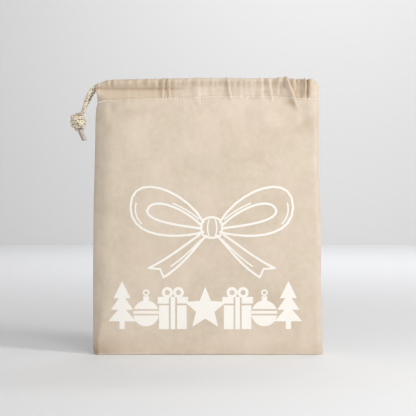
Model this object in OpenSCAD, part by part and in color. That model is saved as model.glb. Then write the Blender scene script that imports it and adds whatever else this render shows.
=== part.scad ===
// Cotton drawstring gift sack, 25 x 30 cm, standing with its mouth a little open.
// Front faces -Y, up is +Z, and the origin is in the middle of the bottom.

/* [Sack] */
// Width across the bottom edge
bottom_w = 252; // [240:1:262]
// Width across the mouth
mouth_w = 243; // [232:1:250]
// Height from the floor to the top edge
height = 300; // [290:1:310]
// Depth between the front and the back face
depth = 27; // [25:1:32]
// Thickness of the calico
cloth = 0.9; // [0.6:0.1:1.2]
// How far in from each side the faces begin to curve back
side_round = 20; // [16:1:26]
// Radius between a face and the bottom
bottom_round = 3; // [2:0.5:5]

/* [Channel] */
// Height of the channel that holds the drawstring
channel_h = 24; // [22:1:26]
// Outer radius of the channel round the cord
channel_r = 4.2; // [4:0.1:4.6]
// Length of one stitch
stitch = 2.4; // [1.8:0.2:3.2]
// Distance from one stitch to the next
stitch_pitch = 3.2; // [2.8:0.2:4]
// Thickness of the sewing thread
thread = 0.5; // [0.4:0.1:0.8]
// Width of the seam allowance inside
allowance = 8; // [6:1:10]

/* [Drawstring] */
// Diameter of the braided cord
cord_d = 4.8; // [4:0.1:5]
// Height of the cord inside the channel
cord_z = 291; // [290:0.5:292]
// Length of the wrapped tips
tip_l = 12.5; // [10:0.5:15]

/* [Print] */
// Thickness of the white ink
ink = 0.3; // [0.2:0.1:0.5]
// Line width of the bow
line_w = 2.4; // [1.6:0.2:3.2]

/* [Hidden] */

half_d = depth / 2;
seam_gap = 0.2;         // each panel stops this far from the middle plane
taper_low = 80;         // the sides start to lean in here
taper_high = 210;       // and stand upright again from here
stitch_z = height - channel_h;
top_r_z = height - channel_r;
channel_y = half_d - channel_r;
low_z = cord_z - 2;     // the channel is full width from here up
channel_left = mouth_w / 2 - 0.5;
turn_x = mouth_w / 2 - half_d;
columns = 7;            // steps round each side of a panel
flat_steps = 6;         // steps across the flat middle
corner_steps = 3;
wall_steps = 12;
cord_sides = 10;
calico = "#d6c7b2";
calico_inside = "#cbbba4";
thread_colour = "#ece0cd";
cord_colour = "#dccfb2";
tip_colour = "#b9a9a2";
ink_colour = "#f7f4f0";

// Where the two strands hang between the channel and the knot
front_route = [[-118.5, -9.3, 291], [-120, -9.3, 290.6], [-121.6, -9.1, 289.8],
    [-123.1, -8.8, 288.4], [-124.5, -8.4, 286.6], [-125.9, -7.9, 284.3], [-127.3, -7.4, 281.6],
    [-128.8, -6.8, 278.6], [-130.3, -6.2, 275.5], [-131.8, -5.5, 272.4], [-133.3, -4.8, 269.2],
    [-134.8, -4, 266], [-136.2, -3.2, 262.8]];
rear_route = [[-118.5, 9.3, 291], [-120, 9.3, 290.6], [-121.6, 9.1, 289.8],
    [-123.1, 8.7, 288.3], [-124.4, 8.2, 286.2], [-125.7, 7.6, 283.5], [-127.1, 6.9, 280.5],
    [-128.7, 6.2, 277.3], [-130.4, 5.5, 274.2], [-132.2, 4.8, 271.2], [-134.1, 4.1, 268.4],
    [-136, 3.5, 265.7], [-137.9, 2.9, 263.1]];
loop_left = front_route[0][0] + 1.1;
knot_at = [-140.7, 0, 253];
knot_core = 6.4;
knot_ring = 6.2;
ink_round = 0.25;
tip_lean = -24;         // the tips lean towards the sack below the knot
front_tip_at = [-138.6, -1.6, 244.4];
rear_tip_at = [-139.8, 3.6, 244.6];

function smooth(t) = let (c = min(1, max(0, t))) c * c * (3 - 2 * c);
function half_w(z) =
    bottom_w / 2 - (bottom_w - mouth_w) / 2 * smooth((z - taper_low) / (taper_high - taper_low));
// Depth of a face at a distance from the middle, on the outside
function face_y(x, z) =
    let (t = max(0, abs(x) - half_w(z) + side_round) / side_round) half_d * sqrt(max(0, 1 - t * t));

// One side of a panel's outline, from its edge to its flat middle, then across and back
function outline(w, d, s) = concat(
    [for (i = [0:columns - 1]) let (a = 90 * i / columns) [-w + s - s * cos(a), -seam_gap - d * sin(a)]],
    [for (i = [0:flat_steps]) [(-w + s) + 2 * (w - s) * i / flat_steps, -seam_gap - d]],
    [for (i = [columns - 1:-1:0]) let (a = 90 * i / columns) [w - s + s * cos(a), -seam_gap - d * sin(a)]]);

// Heights and insets of the rows of points, from the middle of the bottom up to the stitch line.
// inner is the distance inward from the outside.
function rows(inner) =
    let (r = bottom_round, w_in = function(z) half_w(z) - inner, d = half_d - seam_gap - inner)
    concat(
        [[inner, w_in(0) - r - 1, 0.02]],
        [for (i = [0:corner_steps]) let (a = 90 * i / corner_steps)
            [inner + (r - inner) * (1 - cos(a)), w_in(0) - (r - inner) * (1 - sin(a)),
                d - (r - inner) * (1 - sin(a))]],
        [for (i = [1:wall_steps]) let (z = r + (stitch_z - r) * i / wall_steps) [z, w_in(z), d]]);

function ring_points(inner) = [for (row = rows(inner))
    for (p = outline(row[1], row[2], side_round - inner)) [p[0], p[1], row[0]]];

function quad(a, b, c, d) = [[a, b, c], [a, c, d]];

// A closed shell between an outer and an inner grid of points
module shell(outer, inner, across, up) {
    n = len(outer);
    faces = [for (j = [0:up - 2]) for (i = [0:across - 2])
        let (a = j * across + i, b = a + 1, c = b + across, d = a + across)
        each concat(quad(a, d, c, b), quad(n + a, n + b, n + c, n + d))];
    sides = [for (j = [0:up - 2])
        let (a = j * across, d = a + across, b = a + across - 1, c = b + across)
        each concat(quad(a, n + a, n + d, d), quad(b, c, n + c, n + b))];
    ends = [for (i = [0:across - 2])
        let (a = i, b = i + 1, c = (up - 1) * across + i, d = c + 1)
        each concat(quad(a, b, n + b, n + a), quad(c, n + c, n + d, d))];
    polyhedron(concat(outer, inner), concat(faces, sides, ends));
}

module panel() {
    across = 2 * columns + flat_steps + 1;
    shell(ring_points(0), ring_points(cloth), across, len(rows(0)));
}

module front_panel() { color(calico) panel(); }

module back_panel() { color(calico) mirror([0, 1, 0]) panel(); }

// The folded channel: round over the cord, closed at the stitch line.
// The first coordinate is the distance from the middle plane.
module channel_profile() {
    difference() {
        union() {
            translate([channel_y, top_r_z]) circle(r = channel_r, $fn = 48);
            translate([channel_y - channel_r, low_z]) square([2 * channel_r, top_r_z - low_z]);
            polygon([[channel_y - channel_r, low_z + 1], [channel_y - channel_r, low_z],
                [half_d - 2 * cloth, stitch_z], [half_d, stitch_z], [half_d, low_z + 1]]);
        }
        translate([channel_y, top_r_z]) circle(r = channel_r - cloth, $fn = 48);
        translate([channel_y, low_z]) circle(r = channel_r - cloth, $fn = 48);
        translate([channel_y - channel_r + cloth, low_z])
            square([2 * (channel_r - cloth), top_r_z - low_z]);
    }
}

module channel() {
    translate([-channel_left, 0, 0]) rotate([90, 0, 90])
        linear_extrude(channel_left + turn_x) channel_profile();
}

module back_channel() { color(calico) channel(); }

module front_channel() { color(calico) mirror([0, 1, 0]) channel(); }

// The channel turns from the front to the back round the right-hand end of the mouth
module channel_turn() {
    color(calico) translate([turn_x, 0, 0]) rotate([0, 0, -90])
        rotate_extrude(angle = 180, $fn = 64) channel_profile();
}

// A straight thread between two points
module thread_bar(a, b, d = thread) {
    run = b - a;
    flat_run = norm([run[0], run[1]]);
    translate(a) rotate([0, atan2(flat_run, run[2]), atan2(run[1], run[0])])
        cylinder(d = d, h = norm(run), $fn = 8);
}

module stitch_row() {
    first = -channel_left + 12;
    for (x = [first:stitch_pitch:turn_x - stitch])
        translate([x, -half_d - thread / 2 - 0.05, stitch_z - 1]) rotate([0, 90, 0])
            cylinder(d = thread, h = stitch, $fn = 8);
}

module front_channel_stitching() { color(thread_colour) stitch_row(); }

module back_channel_stitching() { color(thread_colour) mirror([0, 1, 0]) stitch_row(); }

// A few stitches sewn over each other where the row starts, at the corner of the mouth
module back_tack() {
    for (i = [0:2]) {
        x = -half_w(stitch_z) + 3 + 3 * i;
        z = stitch_z - 1.6;
        out = 0.75;
        thread_bar([x, -face_y(x, z) - out, z], [x + 2.9, -face_y(x + 2.9, z) - out, z], 0.8);
    }
}

module front_back_tack() { color(thread_colour) back_tack(); }

module rear_back_tack() { color(thread_colour) mirror([0, 1, 0]) back_tack(); }

// Both cut edges of a side seam, turned inside
module side_allowance() {
    top = stitch_z - 2;
    low = 4;
    rise = [for (i = [0:8]) low + (top - low) * i / 8];
    translate([0, cloth - 0.1, 0]) rotate([90, 0, 0]) linear_extrude(2 * cloth - 0.2)
        polygon(concat(
            [for (z = rise) [half_w(z) - cloth - 0.35, z]],
            [for (i = [8:-1:0]) [half_w(rise[i]) - cloth - allowance, rise[i]]]));
}

module right_seam_allowance() { color(calico_inside) side_allowance(); }

module left_seam_allowance() { color(calico_inside) mirror([1, 0, 0]) side_allowance(); }

module bottom_seam_allowance() {
    color(calico_inside) translate([-bottom_w / 2 + 14, -cloth + 0.1, cloth + 0.1])
        cube([bottom_w - 28, 2 * cloth - 0.2, allowance]);
}

// The overlocking loops along a cut edge
module side_overlock() {
    for (z = [8:4:stitch_z - 6])
        translate([half_w(z) - cloth - allowance - 0.75, -cloth, z])
            cube([thread, 2 * cloth, thread]);
}

module right_seam_overlock() { color(thread_colour) side_overlock(); }

module left_seam_overlock() { color(thread_colour) mirror([1, 0, 0]) side_overlock(); }

module bottom_seam_overlock() {
    color(thread_colour) for (x = [-bottom_w / 2 + 16:4:bottom_w / 2 - 16])
        translate([x, -cloth, cloth + allowance + 0.15]) cube([thread, 2 * cloth, thread]);
}

// A drawn line of even width through points, with round ends
module stroke(points, w = line_w) {
    n = len(points);
    side = [for (i = [0:n - 1]) let (
        a = points[max(0, i - 1)], b = points[min(n - 1, i + 1)], t = (b - a) / norm(b - a))
        [-t[1], t[0]] * w / 2];
    polygon(concat([for (i = [0:n - 1]) points[i] + side[i]],
        [for (i = [n - 1:-1:0]) points[i] - side[i]]));
    translate(points[0]) circle(d = w, $fn = 16);
    translate(points[n - 1]) circle(d = w, $fn = 16);
}

function bezier(a, b, c, d, steps = 10) = [for (i = [0:steps]) let (t = i / steps, s = 1 - t)
    s * s * s * a + 3 * s * s * t * b + 3 * s * t * t * c + t * t * t * d];

// Half of a gift bow in line work: loop, inner fold, creases and a forked ribbon end
module bow_half() {
    stroke(bezier([9, 6], [30, 42], [88, 62], [88, 22]));
    stroke(bezier([88, 22], [88, -14], [34, -12], [9, -5]));
    stroke(bezier([12, 3], [34, 24], [66, 34], [70, 18]));
    stroke(bezier([70, 18], [70, 6], [34, 2], [12, -1]));
    stroke(bezier([14, 9], [22, 16], [32, 22], [42, 26], 8), 1.6);
    stroke(bezier([76, 4], [82, 10], [84, 18], [82, 26], 8), 1.6);
    stroke(bezier([6, -9], [20, -24], [30, -40], [52, -54]));
    stroke(bezier([13, -8], [28, -18], [44, -32], [68, -44]));
    stroke([[52, -54], [56, -45], [68, -44]]);
    stroke(bezier([11, -13], [22, -24], [32, -34], [44, -42], 8), 1.6);
}

module bow_line_art() {
    bow_half();
    mirror([1, 0]) bow_half();
    stroke(bezier([-9, 8], [-4, 12], [4, 12], [9, 8], 8));
    stroke(bezier([9, 8], [12, 3], [12, -5], [9, -9], 8));
    stroke(bezier([9, -9], [4, -12], [-4, -12], [-9, -9], 8));
    stroke(bezier([-9, -9], [-12, -5], [-12, 3], [-9, 8], 8));
    stroke(bezier([-3, 8], [-5, 3], [-5, -4], [-3, -9], 8), 1.6);
    stroke(bezier([4, 8], [6, 3], [6, -4], [4, -9], 8), 1.6);
}

module star(r) {
    polygon([for (i = [0:9]) let (a = 90 + 36 * i, q = i % 2 == 0 ? r : r * 0.44)
        q * [cos(a), sin(a)]]);
}

module fir_tree(h) {
    for (i = [0:2]) let (low = h * (0.16 + 0.24 * i), w = h * (0.29 - 0.055 * i))
        polygon([[-w, low], [w, low], [0, low + h * (i == 2 ? 0.36 : 0.34)]]);
    translate([-h * 0.055, 0]) square([h * 0.11, h * 0.17]);
}

module gift_box(w, h) {
    gap = 1.8;
    band = w * 0.17;
    for (s = [-1, 1]) {
        translate([s > 0 ? band / 2 + gap : -w / 2, 0]) square([w / 2 - band / 2 - gap, h * 0.56]);
        translate([s > 0 ? band / 2 + gap : -w / 2 - 1.6, h * 0.56 + gap])
            square([w / 2 - band / 2 - gap + 1.6, h * 0.16]);
        translate([s * w * 0.2, h * 0.86]) rotate([0, 0, s * 20]) difference() {
            circle(r = h * 0.13, $fn = 32);
            circle(r = h * 0.06, $fn = 24);
        }
    }
    translate([-band / 2, 0]) square([band, h * 0.72 + gap]);
}

module bauble(r) {
    difference() {
        circle(r = r, $fn = 48);
        translate([-r, -r * 0.16]) square([2 * r, 1.8]);
        translate([-r, r * 0.2]) square([2 * r, 1.8]);
    }
    translate([-r * 0.22, r * 0.98]) square([r * 0.44, r * 0.34]);
    translate([0, r * 1.6]) difference() {
        circle(r = r * 0.26, $fn = 24);
        circle(r = r * 0.13, $fn = 24);
    }
}

// Bold gift shapes in a row, mirrored about the middle one
module gift_row() {
    translate([0, 22]) star(24);
    for (s = [-1, 1]) {
        translate([s * 35, 0]) gift_box(30, 46);
        translate([s * 64, 17]) bauble(14);
        translate([s * 90, 0]) fir_tree(52);
    }
}

// Printed shapes have slightly rounded corners
module inked(x, z) {
    color(ink_colour) translate([x, -half_d, z]) rotate([90, 0, 0]) linear_extrude(ink)
        offset(r = ink_round, $fn = 8) offset(delta = -ink_round) children();
}

module bow_print() { inked(4, 138) bow_line_art(); }

module gift_row_print() { inked(-3, 28) gift_row(); }

module drawstring_loop() {
    color(cord_colour) {
        for (s = [-1, 1]) translate([loop_left, s * channel_y, cord_z])
            rotate([0, 90, 0]) cylinder(d = cord_d, h = turn_x - loop_left, $fn = 32);
        translate([turn_x, 0, cord_z]) rotate([0, 0, -90]) rotate_extrude(angle = 180, $fn = 48)
            translate([channel_y, 0]) circle(d = cord_d, $fn = 32);
    }
}

// A tube swept along a route of points
function along(route, i) =
    let (n = len(route), d = route[min(n - 1, i + 1)] - route[max(0, i - 1)]) d / norm(d);
function tube_ring(route, i, r) =
    let (t = along(route, i), u = cross(t, [0, 1, 0]) / norm(cross(t, [0, 1, 0])), v = cross(t, u))
    [for (k = [0:cord_sides - 1]) let (a = 360 * k / cord_sides)
        route[i] + r * (cos(a) * u + sin(a) * v)];

module tube(route, d) {
    n = len(route);
    points = [for (i = [0:n - 1]) each tube_ring(route, i, d / 2)];
    walls = [for (j = [0:n - 2]) for (k = [0:cord_sides - 1])
        let (m = (k + 1) % cord_sides, a = j * cord_sides, b = a + cord_sides)
        each quad(a + k, a + m, b + m, b + k)];
    caps = [[for (k = [cord_sides - 1:-1:0]) k],
        [for (k = [0:cord_sides - 1]) (n - 1) * cord_sides + k]];
    polyhedron(points, concat(walls, caps));
}

module front_strand() { color(cord_colour) tube(front_route, cord_d); }

module rear_strand() { color(cord_colour) tube(rear_route, cord_d); }

// An overhand knot tied in both strands together: turns of cord round a packed middle
module cord_knot() {
    color(cord_colour) translate(knot_at) {
        sphere(r = knot_core, $fn = 32);
        for (turn = [[-8, 6, 4.6], [18, 14, 0], [-20, -10, -4.6]])
            translate([0, 0, turn[2]]) rotate([turn[0], turn[1], 0])
                rotate_extrude($fn = 32) translate([knot_ring, 0]) circle(d = cord_d, $fn = 24);
    }
}

module cord_tip(at) {
    translate(at) rotate([0, tip_lean, 0]) mirror([0, 0, 1])
        cylinder(d = cord_d, h = tip_l, $fn = 32);
}

module front_tip() { color(tip_colour) cord_tip(front_tip_at); }

module rear_tip() { color(tip_colour) cord_tip(rear_tip_at); }

front_panel();
back_panel();
front_channel();
back_channel();
channel_turn();
front_channel_stitching();
back_channel_stitching();
front_back_tack();
rear_back_tack();
left_seam_allowance();
right_seam_allowance();
bottom_seam_allowance();
left_seam_overlock();
right_seam_overlock();
bottom_seam_overlock();
bow_print();
gift_row_print();
drawstring_loop();
front_strand();
rear_strand();
cord_knot();
front_tip();
rear_tip();
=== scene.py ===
from math import cos, exp, floor, pi, radians, sin, sqrt, tanh

import bmesh
import bpy
from mathutils import Matrix, Vector, noise
from mathutils.bvhtree import BVHTree
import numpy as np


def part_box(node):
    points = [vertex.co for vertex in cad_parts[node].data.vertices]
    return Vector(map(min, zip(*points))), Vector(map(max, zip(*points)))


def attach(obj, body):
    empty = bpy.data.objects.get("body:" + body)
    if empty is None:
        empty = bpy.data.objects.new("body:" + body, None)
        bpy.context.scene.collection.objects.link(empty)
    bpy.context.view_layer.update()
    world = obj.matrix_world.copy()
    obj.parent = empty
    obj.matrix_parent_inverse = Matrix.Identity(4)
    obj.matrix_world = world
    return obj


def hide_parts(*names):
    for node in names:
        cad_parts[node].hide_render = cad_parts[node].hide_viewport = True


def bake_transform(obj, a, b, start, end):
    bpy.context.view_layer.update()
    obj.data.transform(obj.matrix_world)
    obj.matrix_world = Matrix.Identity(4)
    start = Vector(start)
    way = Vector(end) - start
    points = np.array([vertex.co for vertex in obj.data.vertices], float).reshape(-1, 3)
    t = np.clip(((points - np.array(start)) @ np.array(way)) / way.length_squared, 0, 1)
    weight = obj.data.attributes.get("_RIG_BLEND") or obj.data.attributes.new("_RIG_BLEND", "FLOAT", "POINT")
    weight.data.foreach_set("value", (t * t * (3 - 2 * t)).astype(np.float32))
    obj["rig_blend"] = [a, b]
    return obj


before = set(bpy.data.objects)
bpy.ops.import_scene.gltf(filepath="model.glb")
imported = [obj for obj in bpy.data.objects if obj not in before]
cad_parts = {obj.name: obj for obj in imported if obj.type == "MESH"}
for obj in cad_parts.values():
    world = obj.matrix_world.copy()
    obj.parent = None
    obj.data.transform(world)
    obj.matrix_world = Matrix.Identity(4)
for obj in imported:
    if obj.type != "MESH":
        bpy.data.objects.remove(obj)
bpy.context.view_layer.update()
mm = 0.001


def boxMm(node):
    low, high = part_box(node)
    return Vector(low) / mm, Vector(high) / mm


frontLow, frontHigh = boxMm("front_panel")
turnLow, turnHigh = boxMm("channel_turn")
loopLow, loopHigh = boxMm("drawstring_loop")
sack = {
    "halfDepth": -frontLow.y,
    "stitchZ": turnLow.z,
    "height": turnHigh.z,
    "topHalf": turnHigh.x,
    "bottomHalf": frontHigh.x,
    "bottomRound": 2.0,
    "clothThick": 0.7,
    "seamGap": 0.2,
    "overCord": 2.7,        # how far the cloth can sink in front of the cord
    "camber": 1.8,          # how far a face falls back from its middle to its sides
    "shoulder": 1.2,        # and how much further on the left
    "gatherStart": (-0.0200, 0, 0.1727),
    "gatherEnd": (0.121, 0, 0.292),
}
# the cord's middle line inside the channel
cordRun = {
    "z": (loopLow.z + loopHigh.z) / 2,
    "y": loopHigh.y - (loopHigh.z - loopLow.z) / 2,
    "turnX": turnLow.x,
    "inward": 1.8,
}

# a level camera, square to the printed face
camera = {"distance": 1200.0, "height": 159.0, "across": 450.1, "wallBehind": 3570.0}


def addCamera():
    data = bpy.data.cameras.new("camera")
    data.sensor_width = 36.0
    data.lens = 36.0 * camera["distance"] / camera["across"]
    data.clip_end = 50
    eye = bpy.data.objects.new("camera", data)
    eye.location = Vector((0, -sack["halfDepth"] - camera["distance"], camera["height"])) * mm
    eye.rotation_euler = (radians(90), 0, 0)
    bpy.context.scene.collection.objects.link(eye)
    bpy.context.scene.camera = eye


addCamera()
print("camera set")


# small helpers
def smooth(t):
    t = min(1.0, max(0.0, t))
    return t * t * (3 - 2 * t)


def eased(points, at):
    # value at a place along a short list of (place, value), on a curve that never overshoots them
    if at <= points[0][0]:
        return points[0][1]
    steps = [(vb - va) / (b - a) for (a, va), (b, vb) in zip(points, points[1:])]
    for n, ((a, va), (b, vb)) in enumerate(zip(points, points[1:])):
        if at > b:
            continue
        slopes = []
        for one, two in ((max(n - 1, 0), n), (n, min(n + 1, len(steps) - 1))):
            p, q = steps[one], steps[two]
            slopes.append(2 * p * q / (p + q) if p * q > 0 else 0.0)
        t = (at - a) / (b - a)
        bulge = (slopes[0] * (1 - t) - slopes[1] * t) * (b - a) * t * (1 - t)
        return va + (vb - va) * smooth(t) + bulge
    return points[-1][1]


def soft(x, z, size, seed):
    return noise.noise(Vector((x / size, z / size, seed)))


def linkMesh(bm, name, material, smoothShade=True):
    # the mesh is drawn in millimetres and stored in metres
    bmesh.ops.scale(bm, vec=(mm, mm, mm), verts=bm.verts)
    mesh = bpy.data.meshes.new(name)
    bm.to_mesh(mesh)
    bm.free()
    mesh.materials.append(material)
    for face in mesh.polygons:
        face.use_smooth = smoothShade
    piece = bpy.data.objects.new(name, mesh)
    bpy.context.scene.collection.objects.link(piece)
    return piece


def gridPatch(bm, across, up, place):
    # a grid of faces whose points go where place(i, j) says; the UV map is in metres of cloth
    made = bmesh.ops.create_grid(bm, x_segments=across - 1, y_segments=up - 1, size=1.0)
    verts = sorted(made["verts"], key=lambda v: (round(v.co.y, 5), round(v.co.x, 5)))
    uvLayer = bm.loops.layers.uv.verify()
    spots = {}
    for n, vert in enumerate(verts):
        j, i = divmod(n, across)
        point, uv = place(i, j)
        vert.co = point
        spots[vert] = uv
    for face in {f for v in verts for f in v.link_faces}:
        for loop in face.loops:
            loop[uvLayer].uv = spots[loop.vert]
    return verts


# materials
def newMaterial(name, colour, roughness, **sockets):
    material = bpy.data.materials.new(name)
    material.use_nodes = True
    shader = material.node_tree.nodes["Principled BSDF"]
    shader.inputs["Base Color"].default_value = (*colour, 1)
    shader.inputs["Roughness"].default_value = roughness
    for key, value in sockets.items():
        shader.inputs[key.replace("_", " ")].default_value = value
    return material, material.node_tree, shader


def node(tree, kind, **values):
    made = tree.nodes.new(kind)
    for key, value in values.items():
        setattr(made, key, value)
    return made


def maths(tree, operation, a, b=None, c=None):
    made = node(tree, "ShaderNodeMath", operation=operation)
    for slotNumber, value in enumerate((a, b, c)):
        if value is None:
            continue
        if isinstance(value, (int, float)):
            made.inputs[slotNumber].default_value = value
        else:
            tree.links.new(value, made.inputs[slotNumber])
    return made.outputs[0]


def noiseOf(tree, vector, scale, detail=2.0, roughness=0.5):
    made = node(tree, "ShaderNodeTexNoise", noise_dimensions="3D")
    made.inputs["Scale"].default_value = scale
    made.inputs["Detail"].default_value = detail
    made.inputs["Roughness"].default_value = roughness
    tree.links.new(vector, made.inputs["Vector"])
    return made.outputs["Fac"]


def mixColour(tree, share, a, b):
    made = node(tree, "ShaderNodeMix", data_type="RGBA")
    for slotNumber, value in ((0, share), (6, a), (7, b)):
        if hasattr(value, "links"):
            tree.links.new(value, made.inputs[slotNumber])
        else:
            made.inputs[slotNumber].default_value = value
    return made.outputs[2]


def mapped(tree, vector, scale):
    made = node(tree, "ShaderNodeMapping")
    made.inputs["Scale"].default_value = scale
    tree.links.new(vector, made.inputs["Vector"])
    return made.outputs["Vector"]


def bumped(tree, shader, height, strength, distance):
    made = node(tree, "ShaderNodeBump")
    made.inputs["Strength"].default_value = strength
    made.inputs["Distance"].default_value = distance
    tree.links.new(height, made.inputs["Height"])
    tree.links.new(made.outputs["Normal"], shader.inputs["Normal"])


weave = {
    "pitch": 0.00052,
    "slubLong": 90.0,
    "slubShort": 800.0,
    "slubDetail": 3.0,
    "crossing": 0.35,
    "threadBump": 0.00015,
}


def weaveHeight(tree, uv):
    # plain weave: each warp thread passes over and under each weft thread in turn
    split = node(tree, "ShaderNodeSeparateXYZ")
    tree.links.new(uv, split.inputs[0])
    turn = 2 * pi / weave["pitch"]
    warp = maths(tree, "SINE", maths(tree, "MULTIPLY", split.outputs[0], turn))
    weft = maths(tree, "SINE", maths(tree, "MULTIPLY", split.outputs[1], turn))
    crossing = maths(tree, "MULTIPLY", warp, weft)
    along, short = weave["slubLong"], weave["slubShort"]
    slubAcross = noiseOf(tree, mapped(tree, uv, (along, short, 1)), 1.0, weave["slubDetail"])
    slubAlong = noiseOf(tree, mapped(tree, uv, (short, along, 1)), 1.0, weave["slubDetail"])
    slubs = maths(tree, "ADD", slubAcross, slubAlong)
    height = maths(tree, "MULTIPLY_ADD", crossing, weave["crossing"], slubs)
    return height, slubs, crossing


# scales count cells to the metre
calicoLook = {
    "roughness": 0.93,
    "sheen": 0.25,
    "sheenRoughness": 0.5,
    "specular": 0.25,
    "mottleScale": 34,
    "patchScale": 150,
    "mottle": 0.45,
    "slubs": 1.3,
    "toneMiddle": 1.24,
    "crossing": 0.03,
    "driftScale": (27, 27, 21),
    "driftSteep": 4.0,
    "driftStart": -1.9,
    "pink": (0.755, 0.635, 0.54, 1),
    "pinkShare": 0.36,
    "grainScale": (760, 760, 980),
    "grainSteep": 1.1,
    "grainStart": -0.42,
    "grain": (0.30, 0.22, 0.15, 1),
    "grainShare": 0.13,
    # colour of the painted shade on the double cloth of the channel
    "doubleClothShade": (0.560, 0.455, 0.345, 1),
    "doubleClothShadeShare": 0.48,
    # colour of the painted shade in the hollows of the folds and under the cord
    "deep": (0.36, 0.235, 0.14, 1),
    "speckScale": (260, 150),
    "speckSize": 0.13,
    "speckCount": 0.085,
    "speckShare": 0.55,
    "speck": (0.20, 0.14, 0.09, 1),
    "bump": 0.75,
}


def clamped(tree, value, steep, start):
    made = maths(tree, "MULTIPLY_ADD", value, steep, start)
    made.node.use_clamp = True
    return made


def calicoMaterial(name, colour, darker, seed):
    # the cloth stores "fold", how deep a point lies between its neighbours, plus the painted shadow band
    # under the cord, and "layers", painted shade on the double cloth, 0 where it is single
    look = calicoLook
    material, tree, shader = newMaterial(name, colour, look["roughness"], Sheen_Weight=look["sheen"],
                                         Sheen_Roughness=look["sheenRoughness"],
                                         Specular_IOR_Level=look["specular"])
    uv = node(tree, "ShaderNodeUVMap", uv_map="UVMap").outputs["UV"]
    height, slubs, crossing = weaveHeight(tree, uv)
    place = node(tree, "ShaderNodeTexCoord").outputs["Object"]
    broad, small = look["mottleScale"], look["patchScale"]
    mottle = noiseOf(tree, mapped(tree, place, (broad + seed, broad, broad)), 1.0, 3.0, 0.55)
    patches = noiseOf(tree, mapped(tree, place, (small, small + seed, small)), 1.0, 2.0, 0.6)
    tone = maths(tree, "ADD", maths(tree, "MULTIPLY", mottle, look["mottle"]),
                 maths(tree, "MULTIPLY", patches, look["mottle"]))
    tone = maths(tree, "MULTIPLY_ADD", slubs, look["slubs"], maths(tree, "SUBTRACT", tone, look["toneMiddle"]))
    tone = maths(tree, "MULTIPLY_ADD", crossing, look["crossing"], tone)
    ground = mixColour(tree, tone, (*darker, 1), (*colour, 1))
    # the dye of unbleached cotton drifts between pink and straw
    across, deep, up = look["driftScale"]
    drift = noiseOf(tree, mapped(tree, place, (across, deep, up + seed)), 1.0, 1.0, 0.4)
    blush = clamped(tree, drift, look["driftSteep"], look["driftStart"])
    ground = mixColour(tree, maths(tree, "MULTIPLY", blush, look["pinkShare"]), ground, look["pink"])
    grain = noiseOf(tree, mapped(tree, place, look["grainScale"]), 1.0, 2.0, 0.7)
    grained = mixColour(tree, look["grainShare"], ground, look["grain"])
    ground = mixColour(tree, clamped(tree, grain, look["grainSteep"], look["grainStart"]), ground, grained)
    # painted shade on the double cloth of the channel
    layers = node(tree, "ShaderNodeAttribute", attribute_name="layers").outputs["Fac"]
    ground = mixColour(tree, maths(tree, "MULTIPLY", layers, look["doubleClothShadeShare"]), ground, look["doubleClothShade"])
    # painted shade: the fold attribute darkens the hollows and the band under the cord towards the deep colour
    fold = node(tree, "ShaderNodeAttribute", attribute_name="fold").outputs["Fac"]
    ground = mixColour(tree, clamped(tree, fold, 1.0, 0.0), ground, look["deep"])
    # specks of seed husk caught in the yarn
    speck = node(tree, "ShaderNodeTexVoronoi", feature="F1")
    speck.inputs["Scale"].default_value = 1.0
    wide, tall = look["speckScale"]
    tree.links.new(mapped(tree, uv, (wide + seed, tall, 1)), speck.inputs["Vector"])
    near = maths(tree, "LESS_THAN", speck.outputs["Distance"], look["speckSize"])
    pick = node(tree, "ShaderNodeSeparateColor")
    tree.links.new(speck.outputs["Color"], pick.inputs[0])
    chosen = maths(tree, "LESS_THAN", pick.outputs[0], look["speckCount"])
    share = maths(tree, "MULTIPLY", maths(tree, "MULTIPLY", near, chosen), look["speckShare"])
    tree.links.new(mixColour(tree, share, ground, look["speck"]), shader.inputs["Base Color"])
    bumped(tree, shader, height, look["bump"], weave["threadBump"])
    return material


inkLook = {
    "roughness": 0.62,
    "specular": 0.35,
    "slubs": 0.45,
    "wornStart": -0.30,
    "crossing": -0.05,
    "plain": (0.86, 0.84, 0.80),
    "fresh": (0.885, 0.865, 0.825, 1),
    "wearAndShadow": (0.73, 0.69, 0.62, 1),
    "bump": 0.5,
    "bumpShare": 0.6,       # of the bare cloth's
}


def inkMaterial():
    look = inkLook
    material, tree, shader = newMaterial("whiteInk", look["plain"], look["roughness"],
                                         Specular_IOR_Level=look["specular"])
    uv = node(tree, "ShaderNodeUVMap", uv_map="UVMap").outputs["UV"]
    height, slubs, crossing = weaveHeight(tree, uv)
    wearAndShadow = maths(tree, "MULTIPLY_ADD", slubs, look["slubs"], look["wornStart"])
    wearAndShadow = maths(tree, "MULTIPLY_ADD", crossing, look["crossing"], wearAndShadow)
    tree.links.new(mixColour(tree, wearAndShadow, look["fresh"], look["wearAndShadow"]), shader.inputs["Base Color"])
    bumped(tree, shader, height, look["bump"], weave["threadBump"] * look["bumpShare"])
    return material


yarnLook = {
    "roughness": 0.9,
    "sheen": 0.35,
    "sheenRoughness": 0.45,
    "specular": 0.3,
    "fuzzScale": 2600.0,
    "patchScale": 420.0,
    "plyHeight": 0.35,
    "plyTone": 0.22,
    "patchTone": 1.3,
    "toneStart": -0.12,
    "bump": 0.7,
    # size and sharpness of the dark spots painted as shade in the gaps between the yarns
    "gapShadeScale": 400.0,
    "gapShadeEdge": 9.0,
    "gapShadeReach": 3.2,
}


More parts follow.
